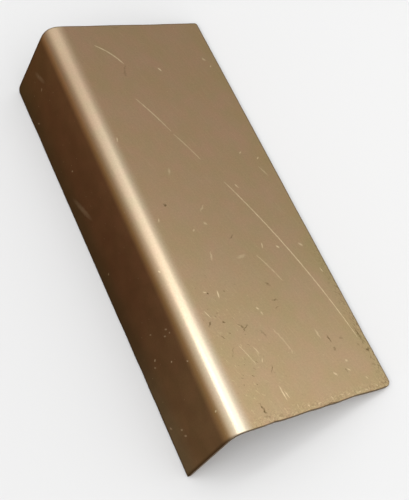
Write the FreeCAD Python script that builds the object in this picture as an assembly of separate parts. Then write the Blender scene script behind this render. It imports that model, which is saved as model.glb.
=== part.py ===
"""Folded sheet metal angle: one blank of bronze sheet, guillotined, corners eased and folded once.

The section is an unequal L with a generous bend. It is modelled as it comes to rest: bend
uppermost, standing like a low tent on its two free edges. The long flange faces up and to the
right (+X), the short flange faces left (-X), and the fold line runs along Y.

Lengths are in millimetres and angles in degrees. Near means the -Y end, far means the +Y end.
"""

import math
import os

import FreeCAD
import Part

# Driving dimensions, each set by itself. Flanges are measured outside, from the mould line.
ANGLE_LENGTH = 195.0
LONG_FLANGE = 80.0
SHORT_FLANGE = 42.0
SHEET_THICKNESS = 1.5
INSIDE_BEND_RADIUS = 5.0
FOLD_TURN = 90.0

# Corner radii of the blank, seen square to each flange. The near short corner was left sharp.
LONG_NEAR_CORNER = 2.4
LONG_FAR_CORNER = 1.1
SHORT_NEAR_CORNER = 0.4
SHORT_FAR_CORNER = 2.8

# Sheared edges: rolled over on the outside of the fold, filed to a small bevel on the inside.
OUTSIDE_ROLLOVER = 0.3
INSIDE_DEBURR = 0.15

NODE_NAME = "sheet_angle"
PARTS_FOLDER = "parts"
TOUCHING = 1e-4

OUTSIDE_BEND_RADIUS = INSIDE_BEND_RADIUS + SHEET_THICKNESS
FOLD = math.radians(FOLD_TURN)
SETBACK = OUTSIDE_BEND_RADIUS * math.tan(FOLD / 2)


class Section:
    """Skin of the folded section in the XZ plane, at a given depth below the outside skin.

    The mould line is the origin. The long flange runs along +X with its outside facing +Z, and
    the short flange leaves the mould line at the fold's angle below it.
    """

    def __init__(self, depth):
        self.depth = depth
        self.along_long = FreeCAD.Vector(1, 0, 0)
        self.out_of_long = FreeCAD.Vector(0, 0, 1)
        self.along_short = FreeCAD.Vector(-math.cos(FOLD), 0, -math.sin(FOLD))
        self.out_of_short = FreeCAD.Vector(-math.sin(FOLD), 0, math.cos(FOLD))

    def on_long(self, distance):
        """Point of the skin on the long flange, this far from the mould line."""
        return self.along_long * distance - self.out_of_long * self.depth

    def on_short(self, distance):
        """Point of the skin on the short flange, this far from the mould line."""
        return self.along_short * distance - self.out_of_short * self.depth

    def on_bend(self):
        """Point of the skin half way round the bend."""
        centre = self.along_long * SETBACK - self.out_of_long * OUTSIDE_BEND_RADIUS
        outwards = (self.out_of_long + self.out_of_short).normalize()
        return centre + outwards * (OUTSIDE_BEND_RADIUS - self.depth)

    def edges(self):
        """Long flange, bend and short flange as connected edges, from free edge to free edge."""
        bend_start = self.on_long(SETBACK)
        bend_end = self.on_short(SETBACK)
        return [
            Part.LineSegment(self.on_long(LONG_FLANGE), bend_start).toShape(),
            Part.Arc(bend_start, self.on_bend(), bend_end).toShape(),
            Part.LineSegment(bend_end, self.on_short(SHORT_FLANGE)).toShape(),
        ]


OUTSIDE = Section(0.0)
INSIDE = Section(SHEET_THICKNESS)


def folded_blank():
    """The L section with its two free edges closed, drawn out along the fold line."""
    free_edges = [
        Part.LineSegment(OUTSIDE.on_long(LONG_FLANGE), INSIDE.on_long(LONG_FLANGE)).toShape(),
        Part.LineSegment(OUTSIDE.on_short(SHORT_FLANGE), INSIDE.on_short(SHORT_FLANGE)).toShape(),
    ]
    outline = Part.Wire(Part.__sortEdges__(OUTSIDE.edges() + INSIDE.edges() + free_edges))
    profile = Part.Face(outline)
    profile.translate(FreeCAD.Vector(0, -ANGLE_LENGTH / 2, 0))
    return profile.extrude(FreeCAD.Vector(0, ANGLE_LENGTH, 0))


def parts_touching(shapes, point):
    """The faces or edges that a point lies on."""
    spot = Part.Vertex(point)
    return [shape for shape in shapes if shape.distToShape(spot)[0] < TOUCHING]


def with_eased_corners(sheet):
    """Rounds the four corners of the blank, through the thickness of the sheet."""
    near = FreeCAD.Vector(0, -ANGLE_LENGTH / 2, 0)
    far = FreeCAD.Vector(0, ANGLE_LENGTH / 2, 0)
    mid_sheet = Section(SHEET_THICKNESS / 2)
    corners = [
        (mid_sheet.on_long(LONG_FLANGE) + near, LONG_NEAR_CORNER),
        (mid_sheet.on_long(LONG_FLANGE) + far, LONG_FAR_CORNER),
        (mid_sheet.on_short(SHORT_FLANGE) + near, SHORT_NEAR_CORNER),
        (mid_sheet.on_short(SHORT_FLANGE) + far, SHORT_FAR_CORNER),
    ]
    for corner, radius in corners:
        sheet = sheet.makeFillet(radius, parts_touching(sheet.Edges, corner))
    return sheet


def rim_of(sheet, skin):
    """The sheared edges that bound one skin: those that its faces don't share."""
    middle_of_long = skin.on_long((SETBACK + LONG_FLANGE) / 2)
    middle_of_short = skin.on_short((SETBACK + SHORT_FLANGE) / 2)
    edges = []
    for point in (middle_of_long, skin.on_bend(), middle_of_short):
        for face in parts_touching(sheet.Faces, point):
            edges += face.Edges
    return [edge for edge in edges if sum(edge.isSame(other) for other in edges) == 1]


def with_broken_edges(sheet):
    """Rolls the outside rim over and takes the burr off the inside one, as with a file."""
    sheet = sheet.makeFillet(OUTSIDE_ROLLOVER, rim_of(sheet, OUTSIDE))
    return sheet.makeChamfer(INSIDE_DEBURR, rim_of(sheet, INSIDE))


def stood_on_free_edges(sheet):
    """Turns the angle until both free edges touch the ground, and centres it over the origin."""
    between_feet = INSIDE.on_long(LONG_FLANGE) - INSIDE.on_short(SHORT_FLANGE)
    lean = math.degrees(math.atan2(between_feet.z, between_feet.x))
    sheet.rotate(FreeCAD.Vector(0, 0, 0), FreeCAD.Vector(0, 1, 0), lean)
    bounds = sheet.optimalBoundingBox(False, False)
    sheet.translate(FreeCAD.Vector(-bounds.Center.x, 0, -bounds.ZMin))
    return sheet, lean


def main():
    sheet, lean = stood_on_free_edges(with_broken_edges(with_eased_corners(folded_blank())))
    solid = sheet.Solids[0]
    os.makedirs(PARTS_FOLDER, exist_ok=True)
    solid.exportStep(os.path.join(PARTS_FOLDER, NODE_NAME + ".step"))
    bounds = solid.optimalBoundingBox(False, False)
    size = (bounds.XLength, bounds.YLength, bounds.ZLength)
    print(f"solids {len(sheet.Solids)}, valid {solid.isValid()}, volume {solid.Volume:.1f}")
    print(f"stands {size[0]:.3f} x {size[1]:.3f} x {size[2]:.3f}, long flange leans {lean:.3f}")


main()
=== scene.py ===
"""Looks of the folded sheet metal angle.

One sheet of satin bronze, guillotined, folded once and scratched by use, stands like a low tent
on its two free edges, on a plain pale floor. Every place on it is given on the flat blank, before
the fold: across is measured over the outside skin from the short flange's free edge, along is
measured from the near end, and depth goes down from the outside skin into the sheet.

Shapes are in metres. Marks on the blank are in millimetres, and say so.
"""

import logging
import math
from dataclasses import dataclass, field, replace
from enum import Enum

import bpy
import numpy as np
from mathutils import Euler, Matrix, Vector


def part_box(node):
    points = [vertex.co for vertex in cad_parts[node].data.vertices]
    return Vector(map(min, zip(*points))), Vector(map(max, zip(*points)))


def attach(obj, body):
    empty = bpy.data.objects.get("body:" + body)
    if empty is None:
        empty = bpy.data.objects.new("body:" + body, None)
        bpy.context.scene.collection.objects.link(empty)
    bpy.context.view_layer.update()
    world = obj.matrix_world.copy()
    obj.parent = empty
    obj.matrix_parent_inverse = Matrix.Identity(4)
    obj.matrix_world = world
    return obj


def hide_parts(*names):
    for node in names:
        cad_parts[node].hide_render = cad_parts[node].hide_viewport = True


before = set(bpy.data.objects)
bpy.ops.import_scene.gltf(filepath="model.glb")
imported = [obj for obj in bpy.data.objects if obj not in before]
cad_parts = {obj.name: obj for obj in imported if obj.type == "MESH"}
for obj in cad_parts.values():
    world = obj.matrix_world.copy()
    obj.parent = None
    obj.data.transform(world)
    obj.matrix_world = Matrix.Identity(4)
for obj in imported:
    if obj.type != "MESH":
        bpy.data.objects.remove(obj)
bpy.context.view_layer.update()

LOG = logging.getLogger("sheet_angle")
NODE = "sheet_angle"
MM = 0.001
PLACE_ATTRIBUTE = "blank_mm"
RIM_ATTRIBUTE = "rim_gap_mm"

# Points that the bend's section is added up from, and halvings that fit its ramp.
SECTION_POINTS = 12001
HALVINGS = 40

Socket = bpy.types.NodeSocket
Colour = tuple[float, float, float]
Point = tuple[float, float, float]
Span = tuple[float, float]


class Edge(Enum):
    """The four sheared edges of the blank."""

    NEAR = "near end"
    FAR = "far end"
    LONG_FREE = "free edge of the long flange"
    SHORT_FREE = "free edge of the short flange"


@dataclass(frozen=True)
class Blank:
    """Sizes of the sheet, and the fold that turns a place on the flat blank into one in space."""

    length: float = 0.195
    long_flange: float = 0.080
    short_flange: float = 0.042
    thickness: float = 0.0015
    inside_radius: float = 0.005
    bend_ease: float = 0.0012
    rollover: float = 0.0003
    bevel: float = 0.00015
    long_near_corner: float = 0.0024
    long_far_corner: float = 0.0011
    short_near_corner: float = 0.0004
    short_far_corner: float = 0.0028

    @property
    def outside_radius(self) -> float:
        """Radius of the bend's outside skin."""
        return self.inside_radius + self.thickness

    @property
    def bend_length(self) -> float:
        """Length of the quarter turn over the outside skin."""
        return self.outside_radius * math.pi / 2

    @property
    def short_flat(self) -> float:
        """Flat width of the short flange, which is also where the bend starts."""
        return self.short_flange - self.outside_radius

    @property
    def long_flat(self) -> float:
        """Flat width of the long flange."""
        return self.long_flange - self.outside_radius

    @property
    def width(self) -> float:
        """Developed width of the blank over the outside skin."""
        return self.short_flat + self.bend_length + self.long_flat

    @property
    def lean(self) -> float:
        """How far the long flange slopes when both free edges stand on the floor."""
        return math.atan2(self.short_flange - self.thickness, self.long_flange - self.thickness)

    @property
    def fold_line(self) -> float:
        """Place of the middle of the bend, across the blank."""
        return self.short_flat + self.bend_length / 2

    def turn(self, across: np.ndarray, ramp: float) -> np.ndarray:
        """How far the sheet has turned at a place across it, from 0 to a quarter turn.

        The turn rises evenly over the ramp, and eases in and out at its ends as the sheet did in
        the press: it is the ramp smoothed, as the difference of two soft steps ln(1 + e^x), one
        for each end, over the ramp's length.

        Args:
            across: Distance over the outside skin from the short flange's free edge.
            ramp: Length over which the turn would happen without easing.

        Returns:
            The turn in radians.
        """
        place = (across - self.fold_line) / self.bend_ease
        half = ramp / 2 / self.bend_ease
        rise = np.logaddexp(0.0, place + half) - np.logaddexp(0.0, place - half)
        return math.pi / 2 * rise / (2 * half)

    def skin_line(self, ramp: float) -> tuple[np.ndarray, np.ndarray, np.ndarray]:
        """Section of the outside skin, added up from small steps along its own direction.

        Args:
            ramp: Length over which the turn would happen without easing.

        Returns:
            Distances across the blank, and the section's x and z there, with the short flange's
            skin at x = 0 and the long flange's at z = 0.
        """
        across = np.linspace(0.0, self.width, SECTION_POINTS)
        turn = self.turn(across, ramp)
        steps = np.diff(across)
        middle = (turn[1:] + turn[:-1]) / 2
        x = np.concatenate([[0.0], np.cumsum(np.sin(middle) * steps)])
        z = np.concatenate([[0.0], np.cumsum(np.cos(middle) * steps)])
        return across, x, z - z[-1]

    def fitted_ramp(self) -> float:
        """Halves the range of the ramp until the long flange comes out at its own width.

        Returns:
            Length over which the turn would happen without easing.
        """
        short, long = 0.2 * self.bend_length, 1.2 * self.bend_length
        for _ in range(HALVINGS):
            ramp = (short + long) / 2
            if self.skin_line(ramp)[1][-1] > self.long_flange:
                long = ramp
            else:
                short = ramp
        return ramp

    def fold(self, across: np.ndarray, along: np.ndarray, depth: np.ndarray) -> np.ndarray:
        """Folds places of the blank and leans them as the angle stands.

        A point is the place of the outside skin's section, less the depth along its normal. The
        section is then turned about Y by the lean.

        Args:
            across: Distance over the outside skin from the short flange's free edge.
            along: Distance from the near end.
            depth: Distance under the outside skin.

        Returns:
            Places in space, one row of three per point.
        """
        ramp = self.fitted_ramp()
        line, line_x, line_z = self.skin_line(ramp)
        turn = self.turn(across, ramp)
        x = np.interp(across, line, line_x) + np.cos(turn) * depth
        z = np.interp(across, line, line_z) - np.sin(turn) * depth
        cos_lean, sin_lean = math.cos(self.lean), math.sin(self.lean)
        return np.stack(
            [x * cos_lean + z * sin_lean, along - self.length / 2, z * cos_lean - x * sin_lean],
            axis=-1,
        )


@dataclass(frozen=True)
class EdgeWear:
    """A shallow dip where an edge of the blank was cut or worn back, in millimetres.

    place is measured along the edge: from the near end on a free edge, and across the blank from
    the short flange's free edge on an end.
    """

    edge: Edge
    place: float
    reach: float
    depth: float


EDGE_WEAR = (
    EdgeWear(Edge.NEAR, place=58.0, reach=2.2, depth=0.28),
    EdgeWear(Edge.NEAR, place=75.0, reach=4.5, depth=0.22),
    EdgeWear(Edge.NEAR, place=85.0, reach=2.0, depth=0.18),
    EdgeWear(Edge.NEAR, place=99.5, reach=7.0, depth=0.42),
    EdgeWear(Edge.NEAR, place=119.5, reach=2.5, depth=0.28),
    EdgeWear(Edge.FAR, place=60.0, reach=6.0, depth=0.12),
    EdgeWear(Edge.FAR, place=92.0, reach=9.0, depth=0.15),
    EdgeWear(Edge.SHORT_FREE, place=46.0, reach=4.0, depth=0.30),
    EdgeWear(Edge.SHORT_FREE, place=63.0, reach=5.0, depth=0.25),
    EdgeWear(Edge.SHORT_FREE, place=31.0, reach=3.0, depth=0.20),
    EdgeWear(Edge.SHORT_FREE, place=167.5, reach=4.5, depth=0.26),
    EdgeWear(Edge.LONG_FREE, place=24.0, reach=3.0, depth=0.20),
    EdgeWear(Edge.LONG_FREE, place=88.0, reach=8.0, depth=0.12),
)


@dataclass
class FoldedSheet:
    """The one piece: two skins of the folded blank and the sheared rim that joins them."""

    blank: Blank = field(default_factory=Blank)
    wear: tuple[EdgeWear, ...] = EDGE_WEAR
    flat_pitch: float = 0.0025
    bend_steps: int = 72
    bend_reach: float = 0.0105
    roll_steps: int = 7
    ease_steps: int = 13
    ease_reach: float = 0.0045
    ease_growth: float = 1.22
    wear_reach: float = 0.0025
    wave_height: float = 0.00004
    burnish: float = 0.0006
    fracture_inset: float = 0.00003
    sharp_angle_deg: float = 32.0

    def rim_steps(self) -> np.ndarray:
        """Distances of the grid lines from an edge: close over the rollover, then growing.

        Over the rollover they are its radius times one less the cosine of even angles, and past
        it each gap is the one before times the growth.

        Returns:
            Distances from the edge, from zero to the ease reach.
        """
        turn = np.linspace(0.0, math.pi / 2, self.roll_steps)
        rollover = self.blank.rollover
        roll = rollover * (1.0 - np.cos(turn))
        growth = self.ease_growth ** np.arange(1, self.ease_steps + 1)
        ease = (growth - 1.0) / (growth[-1] - 1.0)
        return np.concatenate([roll, rollover + (self.ease_reach - rollover) * ease])

    def even_lines(self, start: float, stop: float) -> np.ndarray:
        """Evenly pitched grid lines between two places, without the places themselves."""
        count = max(2, round((stop - start) / self.flat_pitch) + 1)
        return np.linspace(start, stop, count)[1:-1]

    def lines_across(self) -> np.ndarray:
        """Grid lines across the blank, which are closest over the bend and beside the rim.

        Returns:
            Their places, from the short flange's free edge.
        """
        rim = self.rim_steps()
        blank = self.blank
        bend_start = blank.fold_line - self.bend_reach
        bend_end = blank.fold_line + self.bend_reach
        bend = np.linspace(bend_start, bend_end, self.bend_steps + 1)
        short = self.even_lines(rim[-1], bend_start)
        long = self.even_lines(bend_end, blank.width - rim[-1])
        return np.concatenate([rim, short, bend, long, (blank.width - rim)[::-1]])

    def lines_along(self) -> np.ndarray:
        """Grid lines along the blank, which are closest beside the rim.

        Returns:
            Their places, from the near end.
        """
        rim = self.rim_steps()
        middle = self.even_lines(rim[-1], self.blank.length - rim[-1])
        return np.concatenate([rim, middle, (self.blank.length - rim)[::-1]])

    def corner_radii(self, across: np.ndarray, along: np.ndarray) -> np.ndarray:
        """Radius of the nearest corner of the blank at each place.

        Args:
            across: Places across the blank.
            along: Places along the blank.

        Returns:
            The radius at each place.
        """
        blank = self.blank
        on_long, far = across > blank.width / 2, along > blank.length / 2
        long = np.where(far, blank.long_far_corner, blank.long_near_corner)
        short = np.where(far, blank.short_far_corner, blank.short_near_corner)
        return np.where(on_long, long, short)

    def round_corners(
        self, across: np.ndarray, along: np.ndarray
    ) -> tuple[np.ndarray, np.ndarray, np.ndarray]:
        """Draws the square corners of the grid in until they are round.

        Within a corner's square, as large as its radius, a place is moved towards the arc's
        centre by the larger of its two offsets over their hypotenuse, so each square ring of the
        grid becomes an arc at the same distance from the edge.

        Args:
            across: Grid of places across the blank.
            along: Grid of places along the blank.

        Returns:
            The moved places across and along, and each place's distance from the nearest edge.
        """
        blank = self.blank
        radius = self.corner_radii(across, along)
        from_side = np.minimum(across, blank.width - across)
        from_end = np.minimum(along, blank.length - along)
        x = np.clip(1.0 - from_side / radius, 0.0, None)
        y = np.clip(1.0 - from_end / radius, 0.0, None)
        reach = np.hypot(x, y)
        pull = np.where(reach > 0, np.maximum(x, y) / np.where(reach > 0, reach, 1.0), 1.0)
        pull = np.where((x > 0) & (y > 0), pull, 1.0)
        in_side = np.where(x > 0, radius * (1.0 - x * pull), from_side)
        in_end = np.where(y > 0, radius * (1.0 - y * pull), from_end)
        gap = np.minimum(from_side, from_end)
        new_across = np.where(across > blank.width / 2, blank.width - in_side, in_side)
        new_along = np.where(along > blank.length / 2, blank.length - in_end, in_end)
        return new_across, new_along, gap

    def worn(self, across: np.ndarray, along: np.ndarray) -> tuple[np.ndarray, np.ndarray]:
        """Moves places inwards beside the worn stretches of the edges.

        Each dip is its depth times a bell over the distance along the edge, times a bell over the
        distance from the edge.

        Args:
            across: Places across the blank.
            along: Places along the blank.

        Returns:
            The moved places across and along.
        """
        blank = self.blank
        gaps = {
            Edge.NEAR: (along, across),
            Edge.FAR: (blank.length - along, across),
            Edge.LONG_FREE: (blank.width - across, along),
            Edge.SHORT_FREE: (across, along),
        }
        moved = {edge: np.zeros_like(across) for edge in Edge}
        for dip in self.wear:
            gap, place = gaps[dip.edge]
            beside = np.exp(-(((place / MM - dip.place) / dip.reach) ** 2))
            inwards = np.exp(-((gap / self.wear_reach) ** 2))
            moved[dip.edge] += dip.depth * MM * beside * inwards
        return (
            across + moved[Edge.SHORT_FREE] - moved[Edge.LONG_FREE],
            along + moved[Edge.NEAR] - moved[Edge.FAR],
        )

    def wave(self, across: np.ndarray, along: np.ndarray) -> np.ndarray:
        """How far the long flange has bellied out.

        It is half a sine wave across the flange, times the sum of two sine waves along it.

        Args:
            across: Places across the blank.
            along: Places along the blank.

        Returns:
            Height of the skin over its true plane, which is nothing at the bend and free edge.
        """
        blank = self.blank
        share = np.clip((across - blank.short_flat - blank.bend_length) / blank.long_flat, 0.0, 1.0)
        run = math.pi * along / blank.length
        along_wave = 0.6 * np.sin(2.3 * run + 0.6) + 0.4 * np.sin(5.1 * run + 2.0)
        return self.wave_height * np.sin(math.pi * share) * along_wave

    def rim_ring(self, count_across: int, count_along: int) -> np.ndarray:
        """Numbers of the grid's border points in turn, against the clock seen from outside.

        Args:
            count_across: Count of grid lines across.
            count_along: Count of grid lines along.

        Returns:
            The numbers.
        """
        number = np.arange(count_across * count_along).reshape(count_across, count_along)
        return np.concatenate([number[:-1, 0], number[-1, :-1], number[:0:-1, -1], number[0, :0:-1]])

    def inwards(self, place: np.ndarray, size: float) -> np.ndarray:
        """Way into the sheet from its edges along one axis.

        Args:
            place: Places along the axis.
            size: Size of the blank along it.

        Returns:
            1 on the low edge, -1 on the high one and 0 between them.
        """
        from_middle = place - size / 2
        on_edge = np.abs(from_middle) > size / 2 - self.blank.rollover
        return np.where(on_edge, -np.sign(from_middle), 0.0)

    def build(self) -> bpy.types.Object:
        """Makes the closed mesh of the sheet and puts it where the frame's own node stands.

        Returns:
            The new piece, with the places of the blank and the distance from the rim stored on
            its points.
        """
        blank = self.blank
        grid_across, grid_along = np.meshgrid(self.lines_across(), self.lines_along(), indexing="ij")
        shape = grid_across.shape
        across, along, gap = self.round_corners(grid_across, grid_along)
        rolled = np.clip(blank.rollover - gap, 0.0, None)
        top = blank.rollover - np.sqrt(blank.rollover**2 - rolled**2)
        bottom = blank.thickness - np.clip(blank.bevel - gap, 0.0, None)
        ring = self.rim_ring(*shape)

        inset = self.fracture_inset
        ring_across, ring_along = across.ravel()[ring], along.ravel()[ring]
        wall_across = ring_across + self.inwards(ring_across, blank.width) * inset
        wall_along = ring_along + self.inwards(ring_along, blank.length) * inset
        all_across = np.concatenate([across.ravel(), ring_across, wall_across, across.ravel()])
        all_along = np.concatenate([along.ravel(), ring_along, wall_along, along.ravel()])
        all_depth = np.concatenate([
            top.ravel(),
            np.full(ring.size, self.burnish),
            np.full(ring.size, self.burnish + 2 * inset),
            bottom.ravel(),
        ])
        all_gap = np.concatenate([gap.ravel(), np.zeros(2 * ring.size), gap.ravel()])

        plain = blank.fold(all_across, all_along, all_depth)
        low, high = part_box(NODE)
        shift = np.array([
            (low.x + high.x) / 2 - (plain[:, 0].min() + plain[:, 0].max()) / 2,
            (low.y + high.y) / 2,
            low.z - plain[:, 2].min(),
        ])
        worn_across, worn_along = self.worn(all_across, all_along)
        lifted = all_depth - self.wave(worn_across, worn_along)
        points = blank.fold(worn_across, worn_along, lifted) + shift

        mesh = bpy.data.meshes.new("folded_sheet")
        mesh.from_pydata(points.tolist(), [], self.faces(shape, ring).tolist())
        mesh.update()
        self.store(mesh, np.stack([worn_across, worn_along, all_depth], axis=-1) / MM, all_gap / MM)
        mesh.shade_smooth()
        mesh.set_sharp_from_angle(angle=math.radians(self.sharp_angle_deg))
        mesh.validate()
        piece = bpy.data.objects.new("folded_sheet", mesh)
        bpy.context.scene.collection.objects.link(piece)
        return piece

    def faces(self, shape: tuple[int, int], ring: np.ndarray) -> np.ndarray:
        """Corner numbers of all quads, each turned so that it faces outwards.

        Args:
            shape: Count of grid lines across and along.
            ring: Numbers of the grid's border points in turn.

        Returns:
            One row of four point numbers per face.
        """
        number = np.arange(shape[0] * shape[1]).reshape(shape)
        skin = np.stack([number[:-1, :-1], number[1:, :-1], number[1:, 1:], number[:-1, 1:]], axis=-1)
        skin = skin.reshape(-1, 4)
        count = number.size
        bottom_start = count + 2 * ring.size
        upper_wall = count + np.arange(ring.size)
        lower_wall = upper_wall + ring.size
        levels = [ring, upper_wall, lower_wall, ring + bottom_start]
        walls = []
        for upper, lower in zip(levels[:-1], levels[1:]):
            walls.append(np.stack([upper, lower, np.roll(lower, -1), np.roll(upper, -1)], axis=-1))
        return np.concatenate([skin, *walls, skin[:, ::-1] + bottom_start])

    def store(self, mesh: bpy.types.Mesh, place_mm: np.ndarray, gap_mm: np.ndarray) -> None:
        """Keeps each point's place on the blank and its distance from the rim on the mesh.

        Args:
            mesh: The mesh.
            place_mm: Each point's place across, along and under the skin, in millimetres.
            gap_mm: Each point's distance from the rim, in millimetres.
        """
        place = mesh.attributes.new(PLACE_ATTRIBUTE, "FLOAT_VECTOR", "POINT")
        place.data.foreach_set("vector", place_mm.astype(np.float32).ravel())
        rim = mesh.attributes.new(RIM_ATTRIBUTE, "FLOAT", "POINT")
        rim.data.foreach_set("value", gap_mm.astype(np.float32))


class Bench:
    """Sets shader nodes out in one tree and joins them, so that a finish reads as a formula."""

    def __init__(self, tree: bpy.types.NodeTree) -> None:
        """Starts on an empty tree."""
        self.tree = tree
        tree.nodes.clear()

    def node(self, kind: str, **settings: object) -> bpy.types.Node:
        """Adds a node and sets its own choices.

        Args:
            kind: Type of the node.
            settings: The choices, by name.

        Returns:
            The node.
        """
        made = self.tree.nodes.new(kind)
        for name, value in settings.items():
            setattr(made, name, value)
        return made

    def feed(self, socket: Socket, value: object) -> None:
        """Joins a socket to another one, or writes a plain value on it.

        Args:
            socket: The input that is fed.
            value: A socket, a number or a tuple. A colour of three parts becomes opaque.
        """
        if isinstance(value, bpy.types.NodeSocket):
            self.tree.links.new(value, socket)
        elif isinstance(value, tuple) and len(value) == 3 and socket.type == "RGBA":
            socket.default_value = (*value, 1.0)
        else:
            socket.default_value = value

    def run(
        self, kind: str, fed: dict[int | str, object], output: int | str = 0, **settings: object
    ) -> Socket:
        """Adds a node, feeds its inputs and hands back one of its outputs.

        Args:
            kind: Type of the node.
            fed: What goes into each input, by number or name.
            output: Number or name of the output.
            settings: The node's own choices, by name.

        Returns:
            The output.
        """
        made = self.node(kind, **settings)
        for name, value in fed.items():
            self.feed(made.inputs[name], value)
        return made.outputs[output]

    def math(self, operation: str, *values: object, clamp: bool = False) -> Socket:
        """Result of a Math node on up to three values."""
        return self.run("ShaderNodeMath", dict(enumerate(values)), operation=operation, use_clamp=clamp)

    def times(self, first: object, second: object, clamp: bool = False) -> Socket:
        """Product of two numbers."""
        return self.math("MULTIPLY", first, second, clamp=clamp)

    def vector(self, operation: str, *values: object) -> Socket:
        """Vector that comes from a Vector Math node on up to three vectors."""
        return self.run("ShaderNodeVectorMath", dict(enumerate(values)), operation=operation)

    def measure(self, operation: str, first: object, second: object) -> Socket:
        """Number that comes from a Vector Math node on two vectors, such as their distance."""
        return self.run("ShaderNodeVectorMath", {0: first, 1: second}, "Value", operation=operation)

    def scaled(self, vector: object, factor: object) -> Socket:
        """A vector or a colour times a number."""
        return self.run("ShaderNodeVectorMath", {0: vector, "Scale": factor}, operation="SCALE")

    def per(self, place: Socket, size: object) -> Socket:
        """A place counted in multiples of a size."""
        return self.scaled(place, self.math("DIVIDE", 1.0, size))

    def step(self, value: object, low: object, high: object) -> Socket:
        """Smooth step from 0 at low to 1 at high, or down again if low is the larger."""
        fed = {"Value": value, "From Min": low, "From Max": high}
        return self.run("ShaderNodeMapRange", fed, "Result", interpolation_type="SMOOTHSTEP")

    def blend(self, factor: object, first: object, second: object, how: str = "MIX") -> Socket:
        """Colour between two others, or the first one changed by the second in another way."""
        fed = {"Factor": factor, 6: first, 7: second}
        return self.run("ShaderNodeMix", fed, 2, data_type="RGBA", blend_type=how)

    def lerp(self, factor: object, first: object, second: object) -> Socket:
        """Number between two others."""
        return self.run("ShaderNodeMix", {"Factor": factor, 2: first, 3: second}, data_type="FLOAT")

    def parts(self, vector: Socket) -> tuple[Socket, ...]:
        """The three parts of a vector.

        Args:
            vector: The vector.

        Returns:
            Its parts as numbers.
        """
        made = self.node("ShaderNodeSeparateXYZ")
        self.feed(made.inputs[0], vector)
        return tuple(made.outputs)

    def joined(self, first: object, second: object, third: object = 0.0) -> Socket:
        """A vector made of three numbers."""
        return self.run("ShaderNodeCombineXYZ", {0: first, 1: second, 2: third})

    def noise(
        self, place: Socket, detail: float, roughness: float = 0.5, flat: bool = False,
        output: str = "Fac"
    ) -> Socket:
        """Noise with features about one unit apart.

        Args:
            place: Where it is read.
            detail: How many finer layers it has.
            roughness: How strong each finer layer is.
            flat: Whether it is the same at all depths.
            output: Fac for a number, or Color for three of them.

        Returns:
            The noise, spread about 0.5.
        """
        fed = {"Vector": place, "Scale": 1.0, "Detail": detail, "Roughness": roughness}
        dimensions = "2D" if flat else "3D"
        return self.run("ShaderNodeTexNoise", fed, output, noise_dimensions=dimensions)

    def put(self, group: bpy.types.NodeTree, **values: object) -> Socket:
        """Places a node group and feeds it.

        Args:
            group: The group, which has one output.
            values: What goes into its inputs, by name, with underscores for spaces.

        Returns:
            Its output.
        """
        fed = {name.replace("_", " "): value for name, value in values.items()}
        return self.run("ShaderNodeGroup", fed, node_tree=group)


FLOAT = "NodeSocketFloat"
VECTOR = "NodeSocketVector"
MARK_AXES = ("Lengthwise", "Sideways")
AXIS_PARTS = ("across", "along", "corner")

# Size of the noise that moves marks about, in millimetres.
DRIFT_SIZE = 1.4

# A dab is drawn this much stronger and then held at 1, so that more than its very middle is full.
DAB_GAIN = 1.4


def new_group(
    name: str, inputs: dict[str, str], output: str, kind: str
) -> tuple[Bench, dict[str, Socket], Socket]:
    """Starts a shader node group with named sockets.

    Args:
        name: Name of the group.
        inputs: Socket type of each input, by name.
        output: Name of its one output.
        kind: Socket type of the output.

    Returns:
        The bench of the group's tree, its inputs by name, and the socket to feed the output.
    """
    tree = bpy.data.node_groups.new(name, "ShaderNodeTree")
    for socket, socket_kind in inputs.items():
        tree.interface.new_socket(socket, in_out="INPUT", socket_type=socket_kind)
    tree.interface.new_socket(output, in_out="OUTPUT", socket_type=kind)
    bench = Bench(tree)
    start = bench.node("NodeGroupInput")
    end = bench.node("NodeGroupOutput")
    return bench, {socket: start.outputs[socket] for socket in inputs}, end.inputs[output]


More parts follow.
